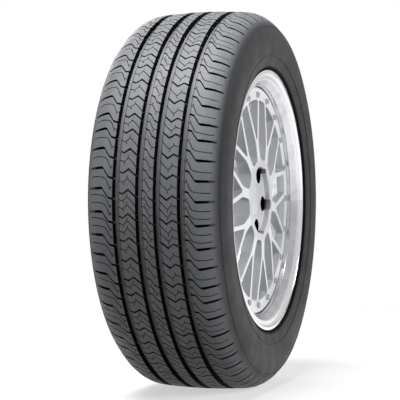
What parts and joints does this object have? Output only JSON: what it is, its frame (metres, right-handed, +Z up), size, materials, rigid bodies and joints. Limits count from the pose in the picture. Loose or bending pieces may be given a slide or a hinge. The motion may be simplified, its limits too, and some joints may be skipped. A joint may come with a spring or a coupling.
{
  "type": "car tyre on alloy wheel",
  "caption": "Car tyre with a ribbed and slotted tread, mounted on a silver wheel with forked spokes and a bolted rim.",
  "frame": {"origin": "centre of the wheel, on its axle and midway between the tyre's sidewalls", "axes": "axle along Y with the outboard side towards -Y, +Z up; the tyre stands on a small flat spot on its tread at the lowest Z"},
  "size_m": [0.7, 0.246, 0.6984],
  "materials": {
    "tyre": "moulded rubber",
    "polished_rim": "polished",
    "silver_rim": "satin silver",
    "silver_centre": "silver paint",
    "bolts": "bright plated",
    "cap": "silver paint",
    "valve_metal": "nickel plated",
    "valve_brass": "plain",
    "black_rubber": "matt",
    "black_plastic": "matt"
  },
  "bodies": {
    "root": {"tyre": "tyre", "outer_lip": "polished_rim", "inner_barrel": "silver_rim", "spoke_centre": "silver_centre", "rim_bolts": "bolts", "rim_nuts": "bolts", "centre_cap": "cap", "valve_body": "valve_metal", "valve_grommet": "black_rubber", "valve_nut": "valve_metal", "valve_core": "valve_brass", "valve_cap": "black_plastic"}
  },
  "joints": []
}
